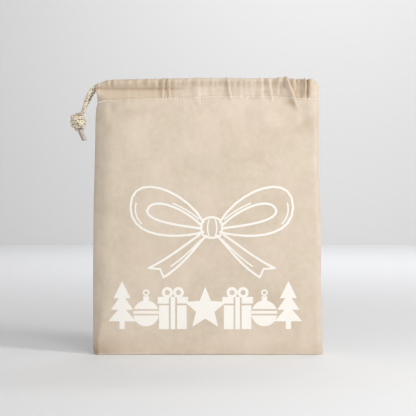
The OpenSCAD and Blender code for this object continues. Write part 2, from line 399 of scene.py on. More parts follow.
def yarnMaterial(name, colour, darker, plyPitch, bumpDepth, gapShade=None):
    # the UV runs round the yarn in x and along it in y, in metres
    look = yarnLook
    material, tree, shader = newMaterial(name, colour, look["roughness"], Sheen_Weight=look["sheen"],
                                         Sheen_Roughness=look["sheenRoughness"],
                                         Specular_IOR_Level=look["specular"])
    uv = node(tree, "ShaderNodeUVMap", uv_map="UVMap").outputs["UV"]
    split = node(tree, "ShaderNodeSeparateXYZ")
    tree.links.new(uv, split.inputs[0])
    along = maths(tree, "ADD", split.outputs[0], split.outputs[1])
    plies = maths(tree, "SINE", maths(tree, "MULTIPLY", along, 2 * pi / plyPitch))
    place = node(tree, "ShaderNodeTexCoord").outputs["Object"]
    fuzz = noiseOf(tree, place, look["fuzzScale"], 4.0, 0.7)
    height = maths(tree, "MULTIPLY_ADD", plies, look["plyHeight"], fuzz)
    patchy = noiseOf(tree, place, look["patchScale"], 3.0, 0.6)
    tone = maths(tree, "MULTIPLY_ADD", patchy, look["patchTone"], look["toneStart"])
    tone = maths(tree, "MULTIPLY_ADD", plies, look["plyTone"], tone)
    hue = mixColour(tree, tone, (*darker, 1), (*colour, 1))
    if gapShade:
        # painted shade: dark spots for the gaps between the yarns, a few to each turn
        cells = node(tree, "ShaderNodeTexVoronoi")
        cells.inputs["Scale"].default_value = look["gapShadeScale"]
        tree.links.new(place, cells.inputs["Vector"])
        gap = maths(tree, "MULTIPLY_ADD", cells.outputs["Distance"], -look["gapShadeEdge"], look["gapShadeReach"])
        hue = mixColour(tree, gap, hue, (*gapShade, 1))
    tree.links.new(hue, shader.inputs["Base Color"])
    bumped(tree, shader, height, look["bump"], bumpDepth)
    return material


calico = calicoMaterial("calico", (0.745, 0.655, 0.545), (0.50, 0.415, 0.32), 0.0)
# a darker, warmer copy of the calico for the seam allowances: painted shade of the inside of the sack
calicoInsideShaded = calicoMaterial("calicoInsideShaded", (0.70, 0.595, 0.47), (0.54, 0.44, 0.32), 5.0)
whiteInk = inkMaterial()
sewingThread = yarnMaterial("sewingThread", (0.97, 0.93, 0.86), (0.88, 0.82, 0.73), 0.0006, 0.00006)
cottonCord = yarnMaterial("cottonCord", (0.86, 0.78, 0.645), (0.69, 0.60, 0.46), 0.0009, 0.00012,
                          gapShade=(0.20, 0.12, 0.05))
# the core is coloured dark as painted shade, seen through the gaps of the braid
shadedCordCore = yarnMaterial("shadedCordCore", (0.30, 0.22, 0.12), (0.20, 0.14, 0.07), 0.0009, 0.0001)
print("materials ready")


# the cord: eight flat yarns braided over a core
cord = {
    "radius": (loopHigh.z - loopLow.z) / 2,
    "turnLength": 18.4,     # length in which a yarn goes once round
    "yarnWide": 0.80,
    "yarnThick": 0.55,
    "overUnder": 0.36,
    "coreRadius": 1.35,
    "step": 0.8,
    "sides": 6,
    "bow": 2.8,             # the strands hang a little outside a straight line
    "loopPoints": 24,       # along each half of the loop
    "bendPoints": 12,
}


class Route:
    # a smooth line through chosen points, read by the distance along it
    def __init__(self, points, step=0.4):
        points = [Vector(p) for p in points]
        ends = [2 * points[0] - points[1]] + points + [2 * points[-1] - points[-2]]
        line = []
        for a, b, c, d in zip(ends, ends[1:], ends[2:], ends[3:]):
            count = max(2, int((c - b).length / step))
            for n in range(count):
                t = n / count
                line.append(0.5 * (2 * b + (c - a) * t + (2 * a - 5 * b + 4 * c - d) * t * t
                                   + (3 * b - a - 3 * c + d) * t * t * t))
        line.append(points[-1])
        self.line = line
        self.along = [0.0]
        for a, b in zip(line, line[1:]):
            self.along.append(self.along[-1] + (b - a).length)
        self.length = self.along[-1]
        # frames carried along the line without twist
        self.tangents = []
        for n in range(len(line)):
            self.tangents.append((line[min(n + 1, len(line) - 1)] - line[max(n - 1, 0)]).normalized())
        side = Vector((0, 0, 1)).cross(self.tangents[0])
        if side.length < 0.2:
            side = Vector((0, 1, 0)).cross(self.tangents[0])
        side.normalize()
        self.sides = [side]
        for before, now in zip(self.tangents, self.tangents[1:]):
            side = before.rotation_difference(now) @ side
            side = (side - now * side.dot(now)).normalized()
            self.sides.append(side)

    def at(self, distance):
        distance = min(max(distance, 0.0), self.length)
        low, high = 0, len(self.along) - 1
        while high - low > 1:
            middle = (low + high) // 2
            if self.along[middle] <= distance:
                low = middle
            else:
                high = middle
        share = (distance - self.along[low]) / max(1e-9, self.along[high] - self.along[low])
        point = self.line[low].lerp(self.line[high], share)
        tangent = self.tangents[low].lerp(self.tangents[high], share).normalized()
        side = self.sides[low].lerp(self.sides[high], share).normalized()
        return point, tangent, side, tangent.cross(side)


def tubeAlong(bm, place, rings, sides, wide, thick=None):
    # a closed tube: place(n) gives the middle, the wide direction and the thick direction of ring n
    thick = thick or wide
    frames = [place(n) for n in range(rings)]
    travelled = [0.0]
    for (a, _, _), (b, _, _) in zip(frames, frames[1:]):
        travelled.append(travelled[-1] + (b - a).length)
    roundLength = pi * (wide + thick)

    def spot(i, j):
        middle, across, out = frames[j]
        angle = 2 * pi * i / sides
        point = middle + across * (wide * cos(angle)) + out * (thick * sin(angle))
        return point, (i / sides * roundLength * mm, travelled[j] * mm)

    verts = gridPatch(bm, sides + 1, rings, spot)
    bmesh.ops.remove_doubles(bm, verts=verts, dist=0.0005)


def braid(bm, route, start, end, startPhase=0.0, detail=1.0):
    # four yarns each way; where two cross, one is out and the other is in
    step = cord["step"] / detail
    rings = max(4, int((end - start) / step) + 1)
    reach = cord["radius"] - cord["yarnThick"] - cord["overUnder"]
    turn = 2 * pi / cord["turnLength"]
    for way in (1, -1):
        for yarn in range(4):
            def place(n, way=way, yarn=yarn):
                s = start + (end - start) * n / (rings - 1)
                point, tangent, side, up = route.at(s)
                run = turn * (s + startPhase)
                angle = way * run + yarn * pi / 2
                out = side * cos(angle) + up * sin(angle)
                turning = up * cos(angle) - side * sin(angle)
                radius = reach + way * cord["overUnder"] * cos(4 * run)
                heading = (tangent + turning * (way * radius * turn)).normalized()
                return point + out * radius, heading.cross(out).normalized(), out
            tubeAlong(bm, place, rings, cord["sides"], cord["yarnWide"], cord["yarnThick"])
    coreRings = max(3, int((end - start) / 2.5) + 1)

    def coreSpot(n):
        point, tangent, side, up = route.at(start + (end - start) * n / (coreRings - 1))
        return point, side, up
    before = set(bm.faces)
    tubeAlong(bm, coreSpot, coreRings, 8, cord["coreRadius"])
    for face in set(bm.faces) - before:
        face.material_index = 1


def closeEnds(bm):
    edges = [e for e in bm.edges if len(e.link_faces) == 1]
    bmesh.ops.holes_fill(bm, edges=edges, sides=cord["sides"] + 4)
    bmesh.ops.recalc_face_normals(bm, faces=bm.faces)


# the two strands between the channel and the knot, by the points they pass, in millimetres
frontRoute = [(-118.5, -9.3, 291), (-120, -9.3, 290.6), (-121.6, -9.1, 289.8),
              (-123.1, -8.8, 288.4), (-124.5, -8.4, 286.6), (-125.9, -7.9, 284.3), (-127.3, -7.4, 281.6),
              (-128.8, -6.8, 278.6), (-130.3, -6.2, 275.5), (-131.8, -5.5, 272.4), (-133.3, -4.8, 269.2),
              (-134.8, -4, 266), (-136.2, -3.2, 262.8)]
rearRoute = [(-118.5, 9.3, 291), (-120, 9.3, 290.6), (-121.6, 9.1, 289.8),
             (-123.1, 8.7, 288.3), (-124.4, 8.2, 286.2), (-125.7, 7.6, 283.5), (-127.1, 6.9, 280.5),
             (-128.7, 6.2, 277.3), (-130.4, 5.5, 274.2), (-132.2, 4.8, 271.2), (-134.1, 4.1, 268.4),
             (-136, 3.5, 265.7), (-137.9, 2.9, 263.1)]
knotLow, knotHigh = boxMm("cord_knot")
knotAt = (knotLow + knotHigh) / 2
hingeAt = Vector((-118.5, 0, 291))


def makeStrand(name, points, replaced):
    last = len(points) - 1
    points = [Vector(p) - Vector((cord["bow"] * sin(pi * n / last), 0, 0)) for n, p in enumerate(points)]
    route = Route(points)
    bm = bmesh.new()
    braid(bm, route, 0.0, route.length, 0.0)
    closeEnds(bm)
    piece = linkMesh(bm, name, cottonCord)
    piece.data.materials.append(shadedCordCore)
    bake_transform(piece, "drawstring", "cord_end", start=hingeAt * mm, end=(hingeAt + Vector((-9, 0, -9))) * mm)
    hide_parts(replaced)


makeStrand("frontStrand", frontRoute, "front_strand")
makeStrand("rearStrand", rearRoute, "rear_strand")


def makeLoop():
    # the cord inside the channel, from one exit round the right-hand end to the other
    ahead, behind = [], []
    for n in range(cord["loopPoints"]):
        x = hingeAt.x + (cordRun["turnX"] - hingeAt.x) * n / cord["loopPoints"]
        y = cordRun["y"] - cordRun["inward"] * smooth(n / 4)
        ahead.append((x, -y, cordRun["z"]))
        behind.append((x, y, cordRun["z"]))
    reach = cordRun["y"] - cordRun["inward"]
    bend = [(cordRun["turnX"] + reach * cos(a), reach * sin(a), cordRun["z"])
            for a in [radians(-90 + 180 * n / cord["bendPoints"]) for n in range(cord["bendPoints"] + 1)]]
    route = Route(ahead + bend + behind[::-1], step=2.0)
    bm = bmesh.new()
    braid(bm, route, 0.0, route.length, 0.0, detail=0.8)
    closeEnds(bm)
    piece = linkMesh(bm, "drawstringLoop", cottonCord)
    piece.data.materials.append(shadedCordCore)
    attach(piece, "drawstring")
    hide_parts("drawstring_loop")


makeLoop()
print("cord braided")


# the knot: each strand wound down round a filled middle, with one more wrap over both
knot = {
    "turns": 1.55,
    "pitch": 9.3,           # each strand drops this far in one turn
    "endRadius": 4.2,
    "middleRadius": 6.9,
    "tilt": -14.0,
    "centre": (-1.2, 0, 1.0),
    "steps": 20,
    "firstAngle": -0.5,
    "entries": ((4.5, -3.2, 9.9), (2.8, 2.9, 10.1)),
    "tips": ((2.1, -1.6, -9.0), (0.9, 3.6, -8.8)),
    "middle": [(0, 0, 5), (0.4, 0, 0), (0, 0, -5)],
    "over": [(-3.2, -3.4, 7.2), (-5.4, -6.2, 4.2), (-2.6, -8.0, 1.6), (1.6, -8.0, -1.6), (4.8, -6.0, -4.2),
             (3.8, -2.4, -6.8)],
}


def wrapRoute(entry, phase, last):
    # in from above, round the knot in falling turns, and out at the bottom
    tilt = Matrix.Rotation(radians(knot["tilt"]), 3, "Y")
    points = [Vector(entry)]
    for n in range(knot["steps"]):
        t = n / (knot["steps"] - 1)
        angle = phase + 2 * pi * knot["turns"] * t
        radius = knot["endRadius"] + (knot["middleRadius"] - knot["endRadius"]) * sin(pi * t) ** 0.7
        fall = knot["pitch"] * knot["turns"] * (0.5 - t)
        turned = tilt @ Vector((radius * cos(angle), radius * sin(angle), fall))
        points.append(turned + Vector(knot["centre"]))
    points.append(points[-1].lerp(Vector(last), 0.5) * 0.86)
    points.append(Vector(last))
    return points


def makeKnot():
    bm = bmesh.new()
    routes = [wrapRoute(entry, pi * number + knot["firstAngle"], knot["tips"][number])
              for number, entry in enumerate(knot["entries"])]
    routes.append([Vector(p) for p in knot["over"]])
    routes.append([Vector(p) for p in knot["middle"]])
    for number, points in enumerate(routes):
        route = Route([knotAt + p for p in points], step=0.6)
        braid(bm, route, 0.0, route.length, 3.0 * number)
    closeEnds(bm)
    piece = linkMesh(bm, "overhandKnot", cottonCord)
    piece.data.materials.append(shadedCordCore)
    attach(piece, "cord_end")
    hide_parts("cord_knot")


makeKnot()
print("knot tied")


# the cloth: one length for each face, from the bottom seam up, over the cord and down inside
cloth = {
    "sideColumns": 20,
    "flatColumns": 212,
    "baseRows": 4,
    "cornerRows": 4,
    "wallRows": 92,
    "channelRows": 30,
    "foldRows": 10,
    "hemRows": 12,
    "foldRadius": 4.6,
    "hemGap": 1.5,
    "sideRound": 22.0,
    "rightSide": 7.5,
    "rightRound": 9.0,     # rounder at the mouth's closed end
    "leftRound": 5.0,       # nearly flat where the cord leaves
    "exitDepth": 12.0,
    "foldReach": 4,         # points each way across, and up, that a fold is compared with
    "foldTall": 6,
    "foldDepth": 2.0,
    "shadeWide": 3.2,
    "slitLow": 268.0,
    "slitHigh": 287.0,
}
# how far each side stands in from the widest place, by height
leftInset = [(0, 1.2), (4, 0.0), (60, 0.0), (157, 0.5), (211, 1.9), (240, 2.4), (256, 2.6), (267, 3.3),
             (274, 4.6), (281, 4.0), (288, 3.2), (294, 2.6)]
rightInset = [(0, 0.2), (20, 0.9), (49, 0.9), (81, 2.1), (119, 2.1), (157, 2.8), (211, 4.2), (300, 4.3)]
# the top edge below the full height, the stitch line above its mean, and the ridge that the cord
# raises: how far under the top it ends and how far it stands out, all by place across
topDrop = [(-124, 7.8), (-122, 7.0), (-116, 4.6), (-110, 2.3), (-95, 1.6), (-63, 0.9), (-9, 0), (83, 0),
           (96, 0.9), (104, 0.9), (109, 0.5), (113, 0.9), (117, 2.0), (119.8, 3.4), (121.6, 5.6)]
stitchRise = [(-121, -0.8), (-105, -0.8), (-70, 1.0), (-40, 1.9), (0, 3.2), (20, 3.8), (65, 3.6),
              (100, 1.7), (121, 1.2)]
ridgeLow = [(-124, 10.6), (-112, 11.7), (-38, 11.6), (-10, 9.0), (30, 9.6), (56, 11.0), (85, 10.4),
            (121, 7)]
ridgeOut = [(-124, 1.8), (-117, 3.8), (-38, 4.3), (-8, 2.4), (30, 2.6), (56, 2.9), (88, 2.2),
            (104, 0.7), (121, 0)]
# from 0, where the cloth lies tight round the cord, to 1, where it hangs from the fold
ridgeSlack = [(-124, 0), (-40, 0), (-10, 0.8), (50, 1), (121, 1)]
# painted shade on the double cloth of the channel below the ridge: how much darker it is made
doubleShade = [(-124, 0.9), (-100, 1.7), (-45, 1.6), (-20, 0.2), (40, 0.05), (60, 0.2), (72, 0.7), (90, 1.1),
               (107, 1.2), (112, 0.1), (121, 0)]
# the painted shadow band under the cord: how far below the full height, and how dark
shadeLow = [(-124, 10.0), (-45, 10.0), (-15, 5.6), (121, 5.6)]
shadeDeep = [(-124, 0.08), (-112, 0.16), (-40, 0.18), (-10, 0.16), (60, 0.14), (95, 0.04), (121, 0)]
# pleats: place at the top and at the stitch line, width on the left and on the right, height,
# lowest and highest point
frontPleats = [
    (-117.5, -120.5, 1.4, 1.0, 1.2, 284, 297), (-108.2, -107.4, 1.6, 0.95, 1.6, 287, 303),
    (-101.8, -100.6, 1.7, 0.95, 1.4, 288, 303), (-98.2, -97.6, 1.2, 0.9, 0.6, 290, 303),
    (-94.9, -94.5, 1.5, 1.0, 0.8, 289, 303), (-86, -85, 3.0, 1.4, 0.7, 288, 303),
    (-75.8, -77.2, 2.2, 1.1, 1.2, 287, 303), (-65, -64, 2.2, 1.0, 1.3, 288, 303),
    (-57, -56, 2.4, 1.2, 0.6, 286, 303),
    (-47.0, -49.8, 2.2, 0.95, 2.4, 275, 303), (-42.7, -41.6, 1.7, 0.95, 2.4, 274, 303),
    (-31.2, -32, 3.0, 1.4, 0.7, 281, 303), (-22, -23, 2.5, 1.4, 0.5, 284, 303),
    (-11.5, -10.6, 4.5, 2.6, 1.1, 268, 303), (4, 5, 3.0, 1.8, 0.5, 277, 303),
    (21.4, 25.0, 2.6, 1.0, 2.5, 274, 303), (34.6, 36.6, 3.2, 1.3, 0.9, 276, 298),
    (46.2, 47.8, 3.2, 1.3, 0.85, 276, 299), (57.6, 58.6, 4.6, 1.6, 1.1, 276, 302),
    (66.0, 69.4, 2.8, 1.2, 2.0, 273, 301), (76.8, 75.0, 2.4, 1.4, 1.6, 279, 303),
    (84.6, 93.3, 8.5, 1.8, 3.6, 272, 304), (85.0, 93.7, 2.0, 1.5, 1.9, 265, 303),
    (93.0, 91.4, 1.5, 1.0, 1.8, 290, 304),
    (98.3, 98.0, 0.95, 0.9, 2.2, 291, 304), (101.7, 101.3, 0.85, 0.8, 2.1, 291, 304),
    (105.0, 105.6, 1.0, 0.9, 3.4, 278, 304),
]
frontHollows = [
    (96.0, 96.4, 1.5, 1.2, -1.6, 280, 304), (99.8, 101.0, 4.2, 2.6, -2.2, 273, 300),
    (100.2, 100.0, 0.8, 0.75, -1.6, 289, 304), (103.5, 103.7, 0.85, 0.7, -2.4, 285, 304),
    (107.3, 107.2, 1.1, 1.7, -4.0, 274, 301), (80.9, 82.6, 1.6, 2.2, -1.4, 286, 304),
    (60.8, 62.0, 1.6, 1.6, -0.8, 280, 302),
]
# broad lumps and dents below the channel: place, half sizes and height
frontLumps = [
    (-112, 260, 6.5, 9, 1.2), (-104, 269, 5, 7, -1.0), (-88, 271, 13, 5, 0.6), (-108, 244, 8, 12, -0.8),
    (-60, 262, 14, 12, -0.5), (-18, 262, 10, 18, 0.6), (60, 263, 9, 13, 1.1), (42, 258, 8, 16, -0.6),
    (87, 273, 7, 5, -0.6), (96, 257, 7, 9, 1.1), (110, 268, 7, 9, 1.3), (104, 246, 9, 12, -0.6),
    (103, 34, 9, 34, 1.0), (10, 40, 40, 16, 0.5), (-70, 20, 30, 12, -0.4), (80, 120, 30, 45, 0.7),
    (-95, 150, 14, 60, -0.9),
]
backPleats = [(-x - 6, -b - 5, r, l, h * 0.8, low, high) for x, b, l, r, h, low, high in frontPleats[:18]
              if abs(x) < 100]
backLumps = [(-x * 0.9, z - 6, w, t, -h) for x, z, w, t, h in frontLumps]
faces = {
    "front": {"way": -1, "pleats": frontPleats + frontHollows, "lumps": frontLumps, "seed": 3.7},
    "back": {"way": 1, "pleats": backPleats, "lumps": backLumps, "seed": 21.3},
}


# the rows of stitches
sewing = {
    "stitch": 1.3,
    "pitch": 3.1,
    "wide": 0.54,
    "high": 0.46,
    "slant": 0.42,
    "start": 13.0,
    "dimple": 0.34,
    "tackWide": 0.62,
}


def topZ(x):
    return sack["height"] - eased(topDrop, x)


def stitchZ(x):
    return sack["stitchZ"] + eased(stitchRise, x)


def pleatHeight(pleats, x, z):
    total = 0.0
    down = (sack["height"] - z) / (sack["height"] - sack["stitchZ"])
    for top, bottom, left, right, height, low, high in pleats:
        middle = top + (bottom - top) * down
        width = left if x < middle else right
        off = (x - middle) / width
        if abs(off) < 3:
            fade = smooth((z - low) / (3 + 2.4 * abs(height))) * smooth((high - z) / 3.0)
            total += height * exp(-off * off) * fade
    return total


def standOut(face, x, z):
    # how far the cloth stands out of its plain shape
    side = faces[face]
    top, stitch = topZ(x), stitchZ(x)
    ridge = sack["height"] - eased(ridgeLow, x)
    out, slack = eased(ridgeOut, x), eased(ridgeSlack, x)
    if z > ridge:
        fall = 1 - min(1.0, (z - ridge) / (0.85 * (top - ridge)))
        round_ = 0.35 * (1 - sqrt(max(0.0, 1 - fall * fall))) + 0.65 * fall ** 1.6
        offset = -out * ((1 - slack) * round_ + slack * fall ** 1.15)
    else:
        offset = -out * (1 - 0.5 * smooth((ridge - z) / 12.0))
    offset *= 1 - smooth((stitch - z) / 34.0)
    # the row of stitches draws the cloth in
    firstStitch = -sack["topHalf"] + sewing["start"] + sewing["stitch"] / 2
    between = 1 - cos(2 * pi * (x - firstStitch) / sewing["pitch"])
    offset -= sewing["dimple"] * (0.2 + between) * exp(-((z - stitch) / 1.3) ** 2)
    below = smooth((stitch - z) / 34.0)
    gather = 1 - smooth((stitch - z) / 9.0)
    seed = side["seed"]
    offset += gather * (0.5 * soft(x, z * 0.16, 5.2, seed) + 0.5 * soft(x, z * 0.3, 13.0, seed + 5))
    offset += smooth((z - ridge + 3) / 5.0) * 0.82 * soft(x, z * 0.12, 3.1, seed + 2)
    upright = smooth((stitch + 8 - z) / 30.0)
    offset -= sack["camber"] * min(1.0, abs(x) / sack["topHalf"]) ** 2.6 * upright
    offset -= sack["shoulder"] * smooth((-x - 88) / 34.0) * upright
    offset += pleatHeight(side["pleats"], x, z)
    calm = smooth(z / 30.0)
    offset += calm * below * (1.5 * soft(x, z, 66.0, seed + 9) + 0.35 * soft(x, z, 25.0, seed + 13))
    offset += calm * (0.14 + 0.1 * gather) * soft(x, z, 8.5, seed + 17)
    offset += 0.05 * soft(x, z, 3.6, seed + 19)
    for cx, cz, wide, tall, height in side["lumps"]:
        off = ((x - cx) / wide) ** 2 + ((z - cz) / tall) ** 2
        if off < 9:
            offset += height * exp(-off)
    # over the cord the cloth can't sink further than the cord lets it
    away = abs(z - cordRun["z"])
    room = sack["overCord"] + 2.2 * slack * smooth((away - 2.5) / 7.0)
    room += 2.6 * (1 - slack) * smooth((away - 0.4) / 3.2)
    return offset if offset > 0 else -room * tanh(-offset / room)


def clothRows():
    rows = [("base", n / cloth["baseRows"]) for n in range(cloth["baseRows"])]
    rows += [("corner", n / cloth["cornerRows"]) for n in range(cloth["cornerRows"])]
    rows += [("wall", n / cloth["wallRows"]) for n in range(cloth["wallRows"])]
    rows += [("channel", n / cloth["channelRows"]) for n in range(cloth["channelRows"])]
    rows += [("fold", n / cloth["foldRows"]) for n in range(cloth["foldRows"])]
    rows += [("hem", n / cloth["hemRows"]) for n in range(cloth["hemRows"] + 1)]
    return rows


def outlineAt(z, column, inset, depthShare=1.0, shrink=0.0):
    # a point of the plan outline of the front face, its outward direction and its share of full depth
    sides, flat = cloth["sideColumns"], cloth["flatColumns"]
    depth = (sack["halfDepth"] - inset) * depthShare
    left = -(sack["bottomHalf"] - eased(leftInset, z)) + shrink
    right = sack["bottomHalf"] - eased(rightInset, z) - shrink
    open_ = smooth((z - cloth["slitLow"]) / (cloth["slitHigh"] - cloth["slitLow"]))
    body = cloth["rightSide"] + (cloth["sideRound"] - cloth["rightSide"]) * smooth((z - 5) / 75.0)
    leftRound = body + (cloth["leftRound"] - body) * open_
    rightRound = cloth["rightSide"] + (cloth["rightRound"] - cloth["rightSide"]) * open_
    edge = max(0.0, cloth["exitDepth"] * open_ - inset)
    if column > sides + flat:
        angle = pi / 2 * (2 * sides + flat - column) / sides
        round_ = rightRound - inset
        point = Vector((right - rightRound + round_ * cos(angle), -depth * sin(angle), 0))
        normal = Vector((cos(angle) / round_, -sin(angle) / max(depth, 0.1), 0)).normalized()
        share = sin(angle)
    elif column < sides:
        angle = pi / 2 * column / sides
        inward = inset * (1 - open_)
        point = Vector((left + inward + (leftRound - inward) * (1 - cos(angle)),
                        -edge - (depth - edge) * sin(angle), 0))
        normal = Vector((-cos(angle) * (depth - edge) / leftRound, -sin(angle), 0)).normalized()
        share = open_ + (1 - open_) * sin(angle)
    else:
        t = (column - sides) / flat
        point = Vector((left + leftRound + (right - rightRound - left - leftRound) * t, -depth, 0))
        normal = Vector((0, -1, 0))
        share = 1.0
    return point, normal, share


def clothPoint(face, kind, t, column):
    base = sack["bottomRound"]
    outward = 0.0
    if kind == "base":
        point, _, _ = outlineAt(0, column, 0, 0.02 + (1 - base / sack["halfDepth"] - 0.02) * t, base + 0.6)
        point.z = 0.0
    elif kind == "corner":
        angle = pi / 2 * t
        point, _, _ = outlineAt(0, column, 0, 1 - base * (1 - sin(angle)) / sack["halfDepth"],
                                base * (1 - sin(angle)) + 0.6 * (1 - t))
        point.z = base * (1 - cos(angle))
    else:
        guess, _, _ = outlineAt(sack["height"] - 4, column, 0)
        stitch, top = stitchZ(guess.x), topZ(guess.x)
        fold = cloth["foldRadius"]
        inset = 0.0
        if kind == "wall":
            z = base + (stitch - base) * (1 - (1 - t) ** 1.25)
        elif kind == "channel":
            z = stitch + (top - fold - stitch) * t
        elif kind == "fold":
            z = top - fold + fold * sin(pi * t)
            inset = fold * (1 - cos(pi * t))
        else:
            z = top - fold + (stitch - top + fold) * t
            inset = 2 * fold + (cloth["hemGap"] - 2 * fold) * smooth((t - 0.25) / 0.75)
        point, normal, share = outlineAt(z, column, inset)
        outward = standOut(face, point.x, z)
        if kind == "fold":
            # round the top, what stands out in front rises over the cord
            point.z = z + 0.35 * outward * sin(pi * t)
            point += normal * outward * cos(pi * t / 2) * share
        elif kind == "hem":
            point.z = z
            point += normal * outward * share * (0.25 + 0.75 * smooth(t))
        else:
            point.z = z
            point += normal * outward * min(1.0, share * 1.3)
    # the seam is turned in a little at each side
    sides, flat = cloth["sideColumns"], cloth["flatColumns"]
    fromSeam = min(column, 2 * sides + flat - column)
    slit = point.z > cloth["slitLow"] + 6 and column < sides
    if fromSeam < 2 and not slit and kind != "hem":
        point.x -= (0.45 if fromSeam == 0 else 0.1) * (1 if point.x > 0 else -1)
    point.y -= sack["seamGap"] * 0.75
    if face == "back":
        point.y = -point.y
    return point, outward


def markFolds(bm, verts, heights, rows):
    # painted shade: how far each point lies below the mean of its neighbours, the painted shadow band under the
    # cord, and the painted shade where the cloth is double
    fold, layers = bm.verts.layers.float["fold"], bm.verts.layers.float["layers"]
    across, up = len(heights[0]), len(rows)
    reach, tall = cloth["foldReach"], cloth["foldTall"]
    means = []
    for row in heights:
        total = [0.0]
        for value in row:
            total.append(total[-1] + value)
        means.append([(total[min(across, i + reach + 1)] - total[max(0, i - reach)])
                      / (min(across, i + reach + 1) - max(0, i - reach)) for i in range(across)])
    for n, vert in enumerate(verts):
        j, i = divmod(n, across)
        low, high = max(0, j - tall), min(up, j + tall + 1)
        mean = sum(means[k][i] for k in range(low, high)) / (high - low)
        kind = rows[j][0]
        doubleClothShade = 1.0 if kind in ("channel", "fold", "hem") else 0.0
        # painted shadow: a darker band under the cord on the double cloth
        under = (vert.co.z - sack["height"] + eased(shadeLow, vert.co.x)) / cloth["shadeWide"]
        wearAndShadow = doubleClothShade * eased(shadeDeep, vert.co.x) * exp(-under * under)
        # fold: painted shade in the hollows, with the painted shadow band under the cord added
        vert[fold] = max(0.0, min(1.0, (mean - heights[j][i]) / cloth["foldDepth"])) + wearAndShadow
        # layers: painted shade on the double cloth of the channel
        vert[layers] = doubleClothShade * eased(doubleShade, vert.co.x)


def makeCloth(face, name, replaced):
    rows = clothRows()
    across = 2 * cloth["sideColumns"] + cloth["flatColumns"] + 1
    laid = [[clothPoint(face, kind, t, i) for i in range(across)] for kind, t in rows]
    points = [[point for point, _ in row] for row in laid]
    heights = [[height for _, height in row] for row in laid]
    middle = across // 2
    lengths = [0.0]
    for below, above in zip(points, points[1:]):
        lengths.append(lengths[-1] + (above[middle] - below[middle]).length)
    widths = [0.0]
    level = points[len(rows) // 3]
    for a, b in zip(level, level[1:]):
        widths.append(widths[-1] + (b - a).length)
    bm = bmesh.new()
    for mark in ("fold", "layers"):
        bm.verts.layers.float.new(mark)
    verts = gridPatch(bm, across, len(rows),
                      lambda i, j: (points[j][i], (widths[i] * mm, lengths[j] * mm)))
    markFolds(bm, verts, heights, rows)
    bm.normal_update()
    bm.faces.ensure_lookup_table()
    centres = [(f, f.calc_center_median()) for f in bm.faces]
    middleFace = next(f for f, centre in centres if abs(centre.z - 150) < 3 and abs(centre.x) < 5)
    if middleFace.normal.y * faces[face]["way"] < 0:
        bmesh.ops.reverse_faces(bm, faces=bm.faces)
    tree = BVHTree.FromBMesh(bm)
    piece = linkMesh(bm, name, calico)
    thick = piece.modifiers.new("thickness", "SOLIDIFY")
    thick.thickness = sack["clothThick"] * mm
    thick.offset = -1.0
    onSack(piece, "calico", *replaced)
    return tree


def onSack(piece, finish, *replaced):
    # everything sewn or printed goes with the cloth as the mouth is drawn towards the exit
    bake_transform(piece, "sack", "drawstring", start=sack["gatherStart"], end=sack["gatherEnd"])
    if replaced:
        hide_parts(*replaced)


frontTree = makeCloth("front", "frontCloth", ("front_panel", "front_channel"))
backTree = makeCloth("back", "backCloth", ("back_panel", "back_channel", "channel_turn"))
print("cloth cut and gathered")


def onFace(face, x, z, lift=0.0):
    # the point of a face at a place across and a height
    way = faces[face]["way"]
    tree = frontTree if face == "front" else backTree
    hit = tree.ray_cast(Vector((x, way * 60, z)), Vector((0, -way, 0)))[0]
    return None if hit is None else hit + Vector((0, way * lift, 0))


# white prints: the flat shapes come from the frame and are laid on the cloth
ink = {"lift": 0.10, "thick": 0.10, "step": 3.0}


def makePrint(name, source):
    bm = bmesh.new()
    bm.from_mesh(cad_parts[source].data)
    bmesh.ops.scale(bm, vec=(1 / mm, 1 / mm, 1 / mm), verts=bm.verts)
    bmesh.ops.remove_doubles(bm, verts=bm.verts, dist=0.002)
    bm.normal_update()
    bmesh.ops.delete(bm, geom=[f for f in bm.faces if f.normal.y > -0.9], context="FACES")
    bmesh.ops.dissolve_limit(bm, angle_limit=0.01, verts=bm.verts, edges=bm.edges)
    low, high = boxMm(source)
    for axis in (0, 2):
        place = floor(low[axis])
        while place < high[axis]:
            place += ink["step"]
            direction = Vector((axis == 0, 0, axis == 2))
            bmesh.ops.bisect_plane(bm, geom=bm.verts[:] + bm.edges[:] + bm.faces[:], dist=0.001,
                                   plane_co=direction * place, plane_no=direction)
    bmesh.ops.triangulate(bm, faces=[f for f in bm.faces if len(f.verts) > 4])
    uvLayer = bm.loops.layers.uv.verify()
    for vert in bm.verts:
        for loop in vert.link_loops:
            loop[uvLayer].uv = (vert.co.x * mm, vert.co.z * mm)
        vert.co = onFace("front", vert.co.x, vert.co.z, ink["lift"])
    bm.normal_update()
    if sum(f.normal.y for f in bm.faces) > 0:
        bmesh.ops.reverse_faces(bm, faces=bm.faces)
    bmesh.ops.solidify(bm, geom=bm.faces[:], thickness=-ink["thick"])
    piece = linkMesh(bm, name, whiteInk, smoothShade=False)
    onSack(piece, "white_ink", source)


makePrint("bowPrint", "bow_print")
makePrint("giftRowPrint", "gift_row_print")
print("printed")


def addStitch(bm, a, b, wide, high):
    middle, run = (a + b) / 2, b - a
    turn = run.to_track_quat("X", "Z").to_matrix().to_4x4()
    size = Matrix.Diagonal((run.length / 2, high, wide, 1))
    bmesh.ops.create_uvsphere(bm, u_segments=8, v_segments=6, radius=1.0,
                              matrix=Matrix.Translation(middle) @ turn @ size, calc_uvs=True)


